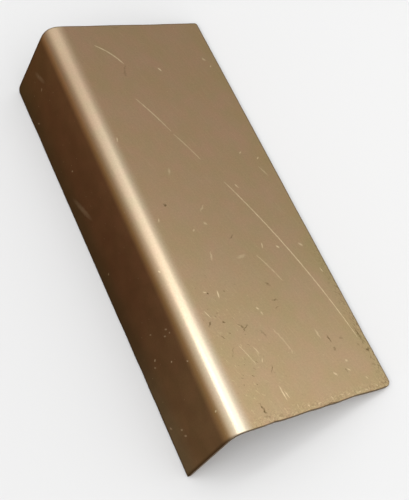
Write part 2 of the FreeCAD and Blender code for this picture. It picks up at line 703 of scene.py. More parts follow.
class Effects:
    """The shader groups that the finishes share, each built once."""

    def __init__(self) -> None:
        """Builds every group."""
        self.cloud = self.build_cloud()
        self.stroke = self.build_stroke()
        self.dabs = self.build_dabs()
        self.specks = self.build_specks()
        self.hairlines = self.build_hairlines()
        self.grain = self.build_grain()
        self.drift = self.build_drift()
        self.glow = self.build_glow()

    def build_cloud(self) -> bpy.types.NodeTree:
        """Soft patches: fractal noise, spread so that it runs from 0 to 1.

        Returns:
            The group.
        """
        inputs = {"Place": VECTOR, "Size": FLOAT, "Offset": VECTOR}
        bench, given, end = new_group("soft patches", inputs, "Amount", FLOAT)
        shifted = bench.vector("ADD", given["Place"], given["Offset"])
        noise = bench.noise(bench.per(shifted, given["Size"]), detail=3.0)
        bench.feed(end, bench.step(noise, 0.3, 0.7))
        return bench.tree

    def build_stroke(self) -> bpy.types.NodeTree:
        """One stroke: how near a place is to a bowed line, thinner and fainter at its ends.

        The share of the way along the line is the place's projection on it, held between 0 and
        1. The line bows sideways by four times that share times what is left of it. The stroke is
        laid over the mask so far, and the stronger of the two stays.

        Returns:
            The group.
        """
        inputs = {
            "Place": VECTOR, "Start": VECTOR, "Line": VECTOR, "Sideways": VECTOR,
            "Per square": FLOAT, "Width": FLOAT, "Strength": FLOAT, "Before": FLOAT,
        }
        end_width, core = 0.45, 0.2
        bench, given, end = new_group("stroke", inputs, "Mask", FLOAT)
        away = bench.vector("SUBTRACT", given["Place"], given["Start"])
        dot = bench.measure("DOT_PRODUCT", away, given["Line"])
        share = bench.times(dot, given["Per square"], clamp=True)
        hump = bench.times(bench.times(share, bench.math("SUBTRACT", 1.0, share)), 4.0)
        straight = bench.scaled(given["Line"], share)
        nearest = bench.vector("ADD", straight, bench.scaled(given["Sideways"], hump))
        distance = bench.measure("DISTANCE", away, nearest)
        width = bench.times(given["Width"], bench.lerp(bench.math("SQRT", hump), end_width, 1.0))
        mask = bench.times(bench.step(distance, width, bench.times(width, core)), given["Strength"])
        bench.feed(end, bench.math("MAXIMUM", mask, given["Before"]))
        return bench.tree

    def build_dabs(self) -> bpy.types.NodeTree:
        """Three short marks at once, one on each channel, each a soft-edged leaning ellipse.

        Lengthwise is how far a place lies from the mark's middle along the mark, over half its
        length with the rounded ends. Sideways is the same across the mark, over its width to
        each side. Both come in as the factors of the place's across and along parts, and the
        value at the blank's corner. The mark shows where the sum of their squares is under 1.

        Returns:
            The group.
        """
        inputs = {"Across": VECTOR, "Along": VECTOR}
        for axis in MARK_AXES:
            inputs |= {f"{axis} {part}": VECTOR for part in AXIS_PARTS}
        inputs |= {"Strength": VECTOR, "Before": VECTOR}
        bench, given, end = new_group("three dabs", inputs, "Mask", VECTOR)
        squares: object = (0.0, 0.0, 0.0)
        for axis in MARK_AXES:
            factors = {part: given[f"{axis} {part}"] for part in AXIS_PARTS}
            part = bench.vector("MULTIPLY_ADD", given["Along"], factors["along"], factors["corner"])
            part = bench.vector("MULTIPLY_ADD", given["Across"], factors["across"], part)
            squares = bench.vector("MULTIPLY_ADD", part, part, squares)
        mask = bench.vector("SUBTRACT", (1.0, 1.0, 1.0), squares)
        mask = bench.vector("MULTIPLY", mask, given["Strength"])
        bench.feed(end, bench.vector("MAXIMUM", mask, given["Before"]))
        return bench.tree

    def build_specks(self) -> bpy.types.NodeTree:
        """Scattered dots: round spots at random places, of which only a share is kept.

        Returns:
            The group.
        """
        inputs = {"Place": VECTOR, "Spacing": FLOAT, "Size": FLOAT, "Share": FLOAT}
        smallest, core = 0.45, 0.4
        bench, given, end = new_group("scattered specks", inputs, "Mask", FLOAT)
        cells = bench.node("ShaderNodeTexVoronoi", voronoi_dimensions="2D", feature="F1")
        bench.feed(cells.inputs["Vector"], bench.per(given["Place"], given["Spacing"]))
        bench.feed(cells.inputs["Scale"], 1.0)
        chances = bench.node("ShaderNodeSeparateColor")
        bench.feed(chances.inputs[0], cells.outputs["Color"])
        distance = bench.times(cells.outputs["Distance"], given["Spacing"])
        size = bench.times(given["Size"], bench.lerp(chances.outputs[1], smallest, 1.0))
        spot = bench.step(distance, size, bench.times(size, core))
        kept = bench.math("LESS_THAN", chances.outputs[0], given["Share"])
        bench.feed(end, bench.times(spot, kept))
        return bench.tree

    def build_hairlines(self) -> bpy.types.NodeTree:
        """Fine rub marks: noise drawn out along one direction, of which only the peaks show.

        Returns:
            The group.
        """
        inputs = {"Place": VECTOR, "Turn": FLOAT, "Length": FLOAT, "Width": FLOAT, "Level": FLOAT}
        softness = 0.08
        bench, given, end = new_group("hairlines", inputs, "Mask", FLOAT)
        fed = {"Vector": given["Place"], "Angle": given["Turn"]}
        ahead, aside, _ = bench.parts(bench.run("ShaderNodeVectorRotate", fed, rotation_type="Z_AXIS"))
        ahead = bench.math("DIVIDE", ahead, given["Length"])
        aside = bench.math("DIVIDE", aside, given["Width"])
        noise = bench.noise(bench.joined(ahead, aside), detail=1.0, flat=True)
        high = bench.math("ADD", given["Level"], softness)
        bench.feed(end, bench.step(noise, given["Level"], high))
        return bench.tree

    def build_grain(self) -> bpy.types.NodeTree:
        """Fine grain of the rolled sheet: close noise that runs from 0 to 1.

        Returns:
            The group.
        """
        bench, given, end = new_group("rolled grain", {"Place": VECTOR, "Size": FLOAT}, "Amount", FLOAT)
        noise = bench.noise(bench.per(given["Place"], given["Size"]), detail=2.0, roughness=0.6)
        bench.feed(end, bench.step(noise, 0.25, 0.75))
        return bench.tree

    def build_drift(self) -> bpy.types.NodeTree:
        """Places moved a little about by noise, up to half the reach each way.

        Marks drawn at the moved places come out uneven, as real ones are.

        Returns:
            The group.
        """
        inputs = {"Place": VECTOR, "Size": FLOAT, "Reach": FLOAT}
        bench, given, end = new_group("drifted place", inputs, "Place", VECTOR)
        noise = bench.noise(bench.per(given["Place"], given["Size"]), detail=1.0, output="Color")
        centred = bench.vector("SUBTRACT", noise, (0.5, 0.5, 0.5))
        bench.feed(end, bench.vector("ADD", given["Place"], bench.scaled(centred, given["Reach"])))
        return bench.tree

    def build_glow(self) -> bpy.types.NodeTree:
        """Soft glow of the studio round one direction: its strength times e to a power.

        1 is taken from the cosine of the angle between the direction looked in and the glow's
        own, and what is left, times the sharpness, is the power.

        Returns:
            The group.
        """
        inputs = {"Direction": VECTOR, "Middle": VECTOR, "Sharpness": FLOAT, "Strength": FLOAT}
        bench, given, end = new_group("soft glow", inputs, "Amount", FLOAT)
        middle = bench.vector("NORMALIZE", given["Middle"])
        cosine = bench.measure("DOT_PRODUCT", given["Direction"], middle)
        power = bench.times(bench.math("SUBTRACT", cosine, 1.0), given["Sharpness"])
        bench.feed(end, bench.times(bench.math("EXPONENT", power), given["Strength"]))
        return bench.tree


class MarkKind(Enum):
    """What a mark leaves on the skin."""

    SCRATCH = "bare bright metal in a groove"
    RUB = "a soft pale smear"
    STAIN = "a dark spot or line"


@dataclass(frozen=True)
class Mark:
    """One mark on the outside skin, in millimetres of the blank.

    start and end are across and along. width is how far the mark reaches to each side. bow is
    how far its middle stands to the right of the straight line, looking from start to end.
    """

    kind: MarkKind
    start: tuple[float, float]
    end: tuple[float, float]
    width: float = 0.30
    strength: float = 1.0
    bow: float = 0.0

    def lay(self, bench: Bench, group: bpy.types.NodeTree, place: Socket, before: object) -> Socket:
        """Adds the mark's stroke to a mask.

        Args:
            bench: The material's bench.
            group: The stroke group.
            place: The place on the blank.
            before: The mask so far.

        Returns:
            The mask with this mark in it.
        """
        line = Vector((*self.end, 0.0)) - Vector((*self.start, 0.0))
        sideways = line.cross(Vector((0.0, 0.0, 1.0))).normalized() * self.bow
        return bench.put(
            group, Place=place, Start=(*self.start, 0.0), Line=tuple(line), Sideways=tuple(sideways),
            Per_square=1.0 / line.length_squared, Width=self.width, Strength=self.strength, Before=before)

    def axes(self) -> dict[str, Point]:
        """Formulas of the mark's two axes, as the group of three dabs takes them.

        Returns:
            For each axis, the factors of across and along and the value at the blank's corner.
        """
        middle = (Vector(self.start) + Vector(self.end)) / 2
        line = Vector(self.end) - Vector(self.start)
        ahead = line.normalized()
        lengthwise = ahead / (line.length / 2 + self.width)
        sideways = Vector((-ahead.y, ahead.x)) / self.width
        return {
            axis: (factor.x, factor.y, -factor.dot(middle))
            for axis, factor in zip(MARK_AXES, (lengthwise, sideways))
        }


def lay_dabs(marks: tuple[Mark, ...], bench: Bench, group: bpy.types.NodeTree, place: Socket) -> Socket:
    """Lays short marks of one kind, three at a time.

    Args:
        marks: The marks.
        bench: The material's bench.
        group: The group of three dabs.
        place: The place on the blank.

    Returns:
        Their mask.
    """
    across, along, _ = bench.parts(place)
    across, along = bench.joined(across, across, across), bench.joined(along, along, along)
    mask: object = (0.0, 0.0, 0.0)
    for first in range(0, len(marks), 3):
        trio = list(marks[first:first + 3])
        trio += [replace(trio[-1], strength=0.0)] * (3 - len(trio))
        values = {}
        for axis in MARK_AXES:
            rows = zip(*(mark.axes()[axis] for mark in trio))
            values |= {f"{axis} {part}": tuple(row) for part, row in zip(AXIS_PARTS, rows)}
        strength = tuple(mark.strength * DAB_GAIN for mark in trio)
        mask = bench.put(group, Across=across, Along=along, Strength=strength, Before=mask, **values)
    first, second, third = bench.parts(mask)
    return bench.math("MAXIMUM", bench.math("MAXIMUM", first, second), third, clamp=True)


SCRATCH, RUB, STAIN = MarkKind.SCRATCH, MarkKind.RUB, MarkKind.STAIN

LONG_FLANGE_MARKS = (
    Mark(SCRATCH, (58.7, 183.3), (68.7, 172.4), width=0.52, strength=0.95, bow=-1.0),
    Mark(SCRATCH, (66.2, 152.8), (75.6, 134.3), width=0.46, strength=0.72, bow=-0.3),
    Mark(SCRATCH, (76.2, 132.6), (83.2, 118.3), width=0.46, strength=0.62, bow=-0.2),
    Mark(SCRATCH, (89.3, 105.5), (115.0, 23.5), width=0.42, strength=1.00, bow=-2.9),
    Mark(SCRATCH, (86.7, 68.6), (92.9, 55.2), width=0.46, strength=0.55, bow=-0.3),
    Mark(SCRATCH, (50.4, 49.6), (52.1, 45.9), width=0.28, strength=0.75),
    Mark(SCRATCH, (58.2, 32.6), (61.8, 23.6), width=0.28, strength=0.70, bow=-0.2),
    Mark(SCRATCH, (64.1, 30.8), (65.7, 27.4), width=0.28, strength=0.65),
    Mark(SCRATCH, (65.7, 25.3), (64.9, 23.6), width=0.28, strength=0.60),
    Mark(RUB, (77.0, 35.5), (80.6, 24.0), width=0.60, strength=0.45, bow=-0.4),
    Mark(SCRATCH, (67.1, 13.2), (67.7, 6.3), width=0.34, strength=0.90),
    Mark(SCRATCH, (68.4, 10.4), (69.2, 7.2), width=0.34, strength=0.80),
    Mark(RUB, (96.3, 31.5), (96.9, 27.0), width=0.60, strength=0.50),
    Mark(RUB, (111.0, 111.2), (113.6, 105.8), width=0.50, strength=0.50),
    Mark(RUB, (65.8, 115.8), (64.6, 112.8), width=0.55, strength=0.45),
    Mark(RUB, (73.6, 96.2), (70.6, 93.2), width=0.45, strength=0.45),
    Mark(RUB, (65.9, 74.0), (64.8, 70.2), width=0.60, strength=0.55),
    Mark(SCRATCH, (92.2, 73.6), (91.3, 71.4), width=0.34, strength=0.85),
    Mark(SCRATCH, (60.4, 56.8), (59.8, 53.6), width=0.40, strength=0.75),
    Mark(SCRATCH, (54.0, 57.4), (55.2, 56.8), width=0.30, strength=0.75),
    Mark(RUB, (94.6, 12.2), (95.5, 10.2), width=0.45, strength=0.80),
    Mark(SCRATCH, (102.1, 11.8), (103.0, 10.8), width=0.34, strength=0.70),
    Mark(RUB, (103.4, 15.6), (104.0, 14.8), width=0.45, strength=0.60),
    Mark(SCRATCH, (71.2, 4.0), (71.1, 2.9), width=0.30, strength=0.55),
    Mark(SCRATCH, (75.8, 2.6), (76.1, 1.8), width=0.34, strength=0.70),
    Mark(SCRATCH, (80.3, 1.7), (82.1, 1.8), width=0.28, strength=0.45),
    Mark(SCRATCH, (88.0, 2.9), (88.3, 1.6), width=0.30, strength=0.60),
    Mark(SCRATCH, (92.5, 2.7), (94.1, 2.1), width=0.28, strength=0.55),
    Mark(SCRATCH, (95.7, 1.7), (97.3, 1.9), width=0.28, strength=0.55),
    Mark(SCRATCH, (100.8, 1.3), (103.2, 1.5), width=0.30, strength=0.60),
    Mark(SCRATCH, (105.1, 1.5), (106.8, 1.4), width=0.28, strength=0.55),
    Mark(SCRATCH, (108.9, 6.6), (109.4, 5.6), width=0.30, strength=0.60),
    Mark(RUB, (111.6, 2.1), (112.3, 1.7), width=0.35, strength=0.60),
    Mark(SCRATCH, (85.1, 169.0), (86.3, 167.1), width=0.42, strength=0.90),
    Mark(RUB, (112.1, 173.0), (112.6, 172.2), width=0.70, strength=0.75),
    Mark(SCRATCH, (113.6, 168.0), (114.4, 168.8), width=0.42, strength=0.60),
    Mark(SCRATCH, (104.7, 119.0), (105.8, 119.7), width=0.36, strength=0.65),
    Mark(SCRATCH, (112.5, 115.0), (113.6, 115.9), width=0.34, strength=0.85),
    Mark(SCRATCH, (94.0, 103.7), (95.0, 101.7), width=0.40, strength=0.75),
    Mark(SCRATCH, (49.8, 92.6), (49.2, 91.1), width=0.36, strength=0.80),
    Mark(SCRATCH, (48.4, 133.7), (47.6, 131.3), width=0.34, strength=0.70),
    Mark(SCRATCH, (98.7, 71.1), (99.6, 70.3), width=0.45, strength=0.85),
    Mark(RUB, (110.9, 70.4), (111.6, 69.2), width=0.75, strength=0.80),
    Mark(SCRATCH, (114.7, 57.3), (115.3, 55.2), width=0.34, strength=0.70),
    Mark(SCRATCH, (74.3, 46.0), (75.0, 45.3), width=0.42, strength=0.70),
    Mark(RUB, (75.3, 43.7), (75.7, 42.9), width=0.50, strength=0.60),
    Mark(RUB, (69.8, 87.5), (70.3, 86.8), width=0.60, strength=0.60),
    Mark(RUB, (62.9, 84.6), (63.5, 85.1), width=0.50, strength=0.60),
    Mark(RUB, (77.0, 69.2), (81.2, 69.6), width=0.80, strength=0.35),
    Mark(STAIN, (55.45, 98.7), (55.75, 98.5), width=0.66, strength=0.95),
    Mark(STAIN, (68.9, 171.4), (66.8, 165.6), width=0.85, strength=0.47, bow=0.3),
    Mark(STAIN, (78.0, 78.3), (80.8, 80.1), width=0.43, strength=0.52),
    Mark(STAIN, (62.2, 40.8), (64.6, 39.2), width=0.43, strength=0.71),
    Mark(STAIN, (63.0, 37.4), (66.6, 40.2), width=0.34, strength=0.57),
    Mark(STAIN, (51.0, 45.0), (49.6, 42.8), width=0.53, strength=0.66),
    Mark(STAIN, (56.3, 32.9), (53.0, 28.2), width=0.35, strength=0.62, bow=0.2),
    Mark(STAIN, (82.4, 47.8), (86.4, 47.6), width=0.53, strength=0.43),
    Mark(STAIN, (83.0, 43.9), (85.2, 44.6), width=0.43, strength=0.47),
    Mark(STAIN, (100.5, 27.3), (101.2, 24.2), width=0.47, strength=0.76),
    Mark(STAIN, (100.9, 21.4), (101.1, 20.6), width=0.74, strength=0.47),
    Mark(STAIN, (68.9, 21.8), (66.6, 18.0), width=0.35, strength=0.66),
    Mark(STAIN, (55.3, 8.2), (56.2, 4.2), width=0.64, strength=0.81),
    Mark(STAIN, (57.6, 0.6), (59.4, 0.3), width=0.40, strength=0.80),
    Mark(STAIN, (54.8, 3.1), (57.0, 2.5), width=0.45, strength=0.40),
    Mark(STAIN, (81.4, 0.6), (91.6, 0.3), width=0.35, strength=0.70),
    Mark(STAIN, (115.7, 27.8), (116.5, 20.2), width=0.80, strength=0.95, bow=-0.2),
    Mark(STAIN, (116.4, 17.8), (116.9, 16.2), width=0.69, strength=0.81),
    Mark(STAIN, (113.3, 20.6), (113.8, 19.8), width=0.53, strength=0.62),
    Mark(STAIN, (101.0, 11.6), (101.6, 10.6), width=0.43, strength=0.71),
    Mark(STAIN, (55.5, 56.6), (55.9, 56.4), width=0.39, strength=0.85),
    Mark(STAIN, (55.4, 47.7), (55.8, 47.4), width=0.47, strength=0.52),
    Mark(STAIN, (56.4, 43.8), (56.8, 43.4), width=0.43, strength=0.62),
    Mark(STAIN, (71.2, 36.4), (72.4, 33.2), width=0.47, strength=0.38),
    Mark(STAIN, (84.6, 55.6), (85.6, 54.6), width=0.96, strength=0.43),
    Mark(STAIN, (106.0, 25.3), (107.2, 24.8), width=0.53, strength=0.43),
    Mark(STAIN, (71.5, 193.4), (75.5, 193.6), width=0.40, strength=0.30),
)

SHORT_FLANGE_MARKS = (
    Mark(RUB, (6.0, 128.0), (12.4, 114.0), width=1.70, strength=0.13),
    Mark(RUB, (19.6, 187.6), (22.8, 180.2), width=1.40, strength=0.10),
    Mark(RUB, (18.1, 179.0), (19.0, 179.4), width=0.42, strength=0.41),
    Mark(RUB, (4.5, 171.6), (5.4, 170.9), width=0.42, strength=0.45),
    Mark(RUB, (14.1, 137.9), (14.7, 137.5), width=0.42, strength=0.45),
    Mark(RUB, (7.0, 89.5), (7.7, 89.5), width=0.38, strength=0.56),
    Mark(RUB, (17.5, 54.6), (18.1, 54.4), width=0.41, strength=0.45),
    Mark(RUB, (26.4, 49.2), (27.4, 48.8), width=0.42, strength=0.38),
    Mark(RUB, (29.0, 51.0), (30.4, 50.6), width=0.42, strength=0.38),
    Mark(RUB, (30.8, 48.8), (31.4, 48.4), width=0.42, strength=0.34),
    Mark(RUB, (12.7, 45.3), (13.3, 45.3), width=0.41, strength=0.52),
    Mark(RUB, (10.4, 43.2), (11.3, 42.8), width=0.42, strength=0.34),
    Mark(RUB, (23.5, 39.2), (24.1, 39.2), width=0.38, strength=0.68),
    Mark(RUB, (33.8, 34.5), (34.4, 34.3), width=0.38, strength=0.68),
    Mark(RUB, (2.8, 19.8), (3.8, 19.4), width=0.42, strength=0.45),
    Mark(RUB, (9.9, 16.2), (10.8, 15.9), width=0.42, strength=0.52),
    Mark(RUB, (10.7, 13.4), (11.8, 12.8), width=0.42, strength=0.49),
    Mark(SCRATCH, (36.5, 11.8), (37.1, 12.0), width=0.40, strength=0.60),
    Mark(SCRATCH, (40.0, 70.9), (40.4, 70.2), width=0.40, strength=0.60),
    Mark(RUB, (41.0, 183.6), (43.0, 181.6), width=0.38, strength=0.45),
    Mark(RUB, (42.0, 180.8), (44.6, 179.8), width=0.35, strength=0.45),
    Mark(RUB, (41.6, 194.3), (47.4, 194.2), width=0.75, strength=0.55),
)


@dataclass(frozen=True)
class Sight:
    """The shaded place on the blank, in millimetres, with the bench and groups that use it."""

    bench: Bench
    effects: Effects
    place: Socket
    across: Socket
    along: Socket
    depth: Socket
    rim_gap: Socket

    @classmethod
    def on(cls, bench: Bench, effects: Effects) -> "Sight":
        """Reads the place from the mesh and takes it apart.

        Args:
            bench: The material's bench.
            effects: The shared shader groups.

        Returns:
            The shaded place.
        """
        place = bench.run("ShaderNodeAttribute", {}, "Vector", attribute_name=PLACE_ATTRIBUTE)
        rim_gap = bench.run("ShaderNodeAttribute", {}, "Fac", attribute_name=RIM_ATTRIBUTE)
        return cls(bench, effects, place, *bench.parts(place), rim_gap)

    def along_step(self, span: Span) -> Socket:
        """Smooth step from 0 to 1 between two places along the blank."""
        return self.bench.step(self.along, *span)

    def across_step(self, span: Span) -> Socket:
        """Smooth step from 0 to 1 between two places across the blank."""
        return self.bench.step(self.across, *span)

    def grain(self, size: float) -> Socket:
        """Grain of the sheet at the place."""
        return self.bench.put(self.effects.grain, Place=self.place, Size=size)

    def drifted(self, reach: float) -> Socket:
        """The place, moved about by noise by up to half the reach."""
        return self.bench.put(self.effects.drift, Place=self.place, Size=DRIFT_SIZE, Reach=reach)


@dataclass(frozen=True)
class Patches:
    """Soft patches of a finish: their size, and their shift in the noise that makes them."""

    size: float
    offset: Point

    def lay(self, sight: Sight) -> Socket:
        """Their strength at the shaded place, from 0 to 1."""
        return sight.bench.put(
            sight.effects.cloud, Place=sight.place, Size=self.size, Offset=self.offset)


@dataclass(frozen=True)
class Hairlines:
    """Fine rub marks of a finish: the turn of their direction in radians, and their sizes.

    The level is where the noise starts to show, so the marks get fewer as it rises.
    """

    turn: float
    length: float
    width: float
    level: float

    def lay(self, sight: Sight, place: Socket) -> Socket:
        """Their mask at a place."""
        return sight.bench.put(
            sight.effects.hairlines, Place=place, Turn=self.turn, Length=self.length,
            Width=self.width, Level=self.level)


@dataclass(frozen=True)
class BronzeReaches:
    """Where each change of the bronze starts and where it is complete, in millimetres.

    A change whose start is the larger number runs the other way.
    """

    # Along the blank, from the near end.
    pinker: Span = (25.0, 150.0)
    near: Span = (70.0, 15.0)
    far: Span = (120.0, 160.0)
    near_painted_highlight: Span = (75.0, 20.0)
    far_painted_highlight: Span = (165.0, 190.0)
    near_painted_shade: Span = (85.0, 5.0)
    near_edge_painted_shade: Span = (65.0, 12.0)
    far_tint: Span = (168.0, 190.0)
    near_flecks: Span = (6.0, 0.6)
    free_edge_flecks: Span = (95.0, 30.0)
    sparse_flecks: Span = (75.0, 45.0)
    near_rim: Span = (2.0, 1.0)

    # Across the blank, from the free edge of the short flange.
    edge_painted_shade: Span = (15.0, 1.0)
    warm_painted_shade: Span = (20.0, 34.0)
    short_side: Span = (42.0, 34.0)
    painted_highlight: Span = (48.9, 43.9)
    olive: Span = (45.0, 50.0)
    olive_rim: Span = (108.0, 119.0)
    near_flecks_across: Span = (44.0, 50.0)
    free_edge_flecks_across: Span = (113.0, 118.5)
    sparse_flecks_rise: Span = (46.0, 50.0)
    sparse_flecks_fall: Span = (82.0, 60.0)
    near_rim_across: Span = (40.0, 47.0)
    bend_peel_rise: Span = (33.0, 40.0)
    bend_peel_fall: Span = (52.0, 45.0)

    # Across it too: where the painted shade turns from brown to russet, and the russet turns to metal,
    # over the bend.
    # Values named for the near or the far end hold there, and the others elsewhere.
    russet_shade_start: float = 33.0
    russet_shade_start_near: float = 31.5
    russet_shade_full: float = 38.5
    metal_start: float = 36.0
    metal_full: float = 43.4
    metal_full_far: float = 43.0
    metal_full_near: float = 42.7

    # Down from the outside skin.
    wall: Span = (0.10, 0.32)
    inside: Span = (1.30, 1.38)

    # In from the rim.
    rim_full: float = 0.1
    rim_long: float = 0.9
    rim_short: float = 1.5
    rim_near_end: float = 0.42


@dataclass(frozen=True)
class BronzeFinish:
    """Satin bronze: bare on the long flange, a painted highlight over the bend, painted shade on the
    short one.

    A swing is what a colour or a mask is multiplied by where its noise is 0 and where it is 1.
    """

    golden: Colour = (0.437, 0.318, 0.185)
    pinkish: Colour = (0.446, 0.302, 0.178)
    # Painted highlight: paler colours over the top of the bend, whiter at the near end and brighter at
    # the far one.
    painted_highlight: Colour = (0.560, 0.457, 0.311)
    near_painted_highlight: Colour = (0.525, 0.468, 0.350)
    warm_painted_highlight: Colour = (0.573, 0.438, 0.287)
    far_painted_highlight: Colour = (0.660, 0.504, 0.330)
    # Painted shade: russet on the bend's side towards the short flange, and dark browns over the short
    # flange, lighter at the near end.
    russet_painted_shade: Colour = (0.240, 0.132, 0.048)
    far_russet_painted_shade: Colour = (0.262, 0.136, 0.054)
    near_russet_painted_shade: Colour = (0.275, 0.160, 0.062)
    warm_painted_shade: Colour = (0.086, 0.040, 0.019)
    painted_shade: Colour = (0.068, 0.0305, 0.0150)
    near_painted_shade: Colour = (0.104, 0.059, 0.027)
    edge_painted_shade: Colour = (0.039, 0.0255, 0.0130)
    near_edge_painted_shade: Colour = (0.108, 0.077, 0.040)
    far_tint: Colour = (0.86, 0.95, 0.90)
    olive_tint: Colour = (0.93, 1.00, 0.86)
    pink_tint: Colour = (1.05, 0.985, 1.02)
    # Scratches: bare metal, drawn lighter than the flange as a painted glint of their grooves.
    bare: Colour = (0.71, 0.57, 0.355)
    rubbed: Colour = (0.64, 0.50, 0.31)
    # Rubs on the short flange, kept dark by its painted shade.
    rubbed_in_painted_shade: Colour = (0.36, 0.26, 0.16)
    stain: Colour = (0.142, 0.096, 0.041)
    sheared: Colour = (0.105, 0.078, 0.045)
    dark_rim: Colour = (0.018, 0.012, 0.007)
    # Golden flecks: handling marks, and along the near end and long free edge also a painted highlight of
    # the rolled rim.
    golden_fleck_and_rim_highlight: Colour = (0.62, 0.50, 0.284)
    edge_tint: Colour = (0.75, 0.60, 0.50)

    reaches: BronzeReaches = BronzeReaches()
    olive_patches: Patches = Patches(size=16.0, offset=(3.0, 40.0, 0.0))
    pink_patches: Patches = Patches(size=7.0, offset=(90.0, 7.0, 0.0))
    brown_patches: Patches = Patches(size=9.0, offset=(50.0, 5.0, 0.0))
    inside_patches: Patches = Patches(size=12.0, offset=(20.0, 60.0, 9.0))
    golden_flecks: Hairlines = Hairlines(turn=-0.25, length=1.5, width=0.5, level=0.56)
    dark_flecks: Hairlines = Hairlines(turn=1.35, length=1.6, width=0.55, level=0.57)
    sparse_golden_flecks: Hairlines = Hairlines(turn=1.1, length=3.2, width=0.65, level=0.70)
    sparse_dark_flecks: Hairlines = Hairlines(turn=0.7, length=2.2, width=0.8, level=0.74)
    rub_lines: Hairlines = Hairlines(turn=1.25, length=9.0, width=0.55, level=0.60)

    brown_swing: Span = (0.92, 1.08)
    grain_swing: Span = (0.95, 1.05)
    inside_swing: Span = (0.90, 1.0)
    wall_swing: Span = (0.35, 0.75)
    scratch_swing: Span = (0.55, 1.15)
    stain_swing: Span = (1.15, 0.20)

    # How strongly each effect shows where it is full.
    edge_painted_shade_share: float = 0.85
    olive_share: float = 0.60
    olive_rim_share: float = 0.55
    golden_fleck_share: float = 0.45
    golden_free_edge_share: float = 0.35
    dark_fleck_share: float = 0.60
    dark_near_end_share: float = 0.45
    rub_line_share: float = 0.07
    speck_share: float = 0.45
    rim_share: float = 0.75

    # Sizes of the noises and specks, and how far marks are moved about, in millimetres.
    grain_size: float = 0.75
    peel_size: float = 1.1
    broken_size: float = 2.1
    scratch_drift: float = 0.35
    rub_drift: float = 1.1
    stain_drift: float = 1.7
    fleck_drift: float = 1.7
    speck_spacing: float = 5.2
    speck_size: float = 0.28

    # Share of the specks that show.
    specks_kept: float = 0.16

    # The skin's roughness where its grain is 0 and where it is 1, and that of other places.
    roughness: Span = (0.294, 0.306)
    scratch_roughness: float = 0.40
    stain_roughness: float = 0.38
    inside_roughness: float = 0.36

    # Height of the skin's fine unevenness on the bend, in metres, and what is left of it beside.
    peel_height: float = 0.000012
    flat_peel: float = 0.35

    def bare_metal(self, sight: Sight) -> Socket:
        """Colour of the bare metal, golden at the near end and pinker at the far one."""
        return sight.bench.blend(sight.along_step(self.reaches.pinker), self.golden, self.pinkish)

    def painted_shade_colour(self, sight: Sight) -> Socket:
        """Painted shade of the short flange, in browns: warm beside the bend, olive and darker to the
        free edge.

        Args:
            sight: The shaded place.

        Returns:
            The colour.
        """
        bench, reaches = sight.bench, self.reaches
        brown = bench.blend(sight.across_step(reaches.warm_painted_shade), self.painted_shade, self.warm_painted_shade)
        brown = bench.blend(sight.along_step(reaches.near_painted_shade), brown, self.near_painted_shade)
        near_edge = sight.along_step(reaches.near_edge_painted_shade)
        edge = bench.blend(near_edge, self.edge_painted_shade, self.near_edge_painted_shade)
        at_edge = bench.times(sight.across_step(reaches.edge_painted_shade), self.edge_painted_shade_share)
        brown = bench.blend(at_edge, brown, edge)
        brown = bench.blend(sight.along_step(reaches.far_tint), brown, self.far_tint, how="MULTIPLY")
        return bench.scaled(brown, bench.lerp(self.brown_patches.lay(sight), *self.brown_swing))

    def outside_colour(self, sight: Sight) -> Socket:
        """Colour of the outside skin before any marks.

        Args:
            sight: The shaded place.

        Returns:
            The colour.
        """
        bench, reaches = sight.bench, self.reaches
        near, far = sight.along_step(reaches.near), sight.along_step(reaches.far)
        # Painted highlight over the top of the bend, changing along its length.
        painted_highlight = bench.blend(sight.along_step(reaches.near_painted_highlight), self.painted_highlight, self.near_painted_highlight)
        painted_highlight = bench.blend(far, painted_highlight, self.warm_painted_highlight)
        painted_highlight = bench.blend(sight.along_step(reaches.far_painted_highlight), painted_highlight, self.far_painted_highlight)
        metal = bench.blend(sight.across_step(reaches.painted_highlight), self.bare_metal(sight), painted_highlight)

        # Painted shade on the bend's side towards the short flange: from the short flange's browns
        # through russet to metal.
        russet_painted_shade = bench.blend(near, bench.blend(far, self.russet_painted_shade, self.far_russet_painted_shade), self.near_russet_painted_shade)
        start = bench.lerp(near, reaches.russet_shade_start, reaches.russet_shade_start_near)
        rising = bench.step(sight.across, start, reaches.russet_shade_full)
        rising = bench.blend(rising, self.painted_shade_colour(sight), russet_painted_shade)
        top = bench.lerp(far, reaches.metal_full, reaches.metal_full_far)
        top = bench.lerp(near, top, reaches.metal_full_near)
        colour = bench.blend(bench.step(sight.across, reaches.metal_start, top), rising, metal)

        rim = bench.times(sight.across_step(reaches.olive_rim), self.olive_rim_share)
        olive = bench.times(self.olive_patches.lay(sight), sight.across_step(reaches.olive))
        olive = bench.math("MULTIPLY_ADD", olive, self.olive_share, rim, clamp=True)
        colour = bench.blend(olive, colour, self.olive_tint, how="MULTIPLY")
        return bench.blend(self.pink_patches.lay(sight), colour, self.pink_tint, how="MULTIPLY")

    def mark_masks(self, sight: Sight) -> dict[MarkKind, Socket]:
        """Draws the listed marks, uneven and broken up as real ones are.

        Args:
            sight: The shaded place.

        Returns:
            The mask of each kind of mark.
        """
        bench, effects = sight.bench, sight.effects
        marks = LONG_FLANGE_MARKS + SHORT_FLANGE_MARKS
        drifts = {SCRATCH: self.scratch_drift, RUB: self.rub_drift, STAIN: self.stain_drift}
        masks = {}
        for kind, reach in drifts.items():
            drifted = sight.drifted(reach)
            straight = tuple(mark for mark in marks if mark.kind is kind and not mark.bow)
            bowed = tuple(mark for mark in marks if mark.kind is kind and mark.bow)
            masks[kind] = lay_dabs(straight, bench, effects.dabs, drifted)
            for mark in bowed:
                masks[kind] = mark.lay(bench, effects.stroke, drifted, masks[kind])
        broken = sight.grain(self.broken_size)
        for kind, swing in ((SCRATCH, self.scratch_swing), (STAIN, self.stain_swing)):
            masks[kind] = bench.times(masks[kind], bench.lerp(broken, *swing), clamp=True)
        return masks

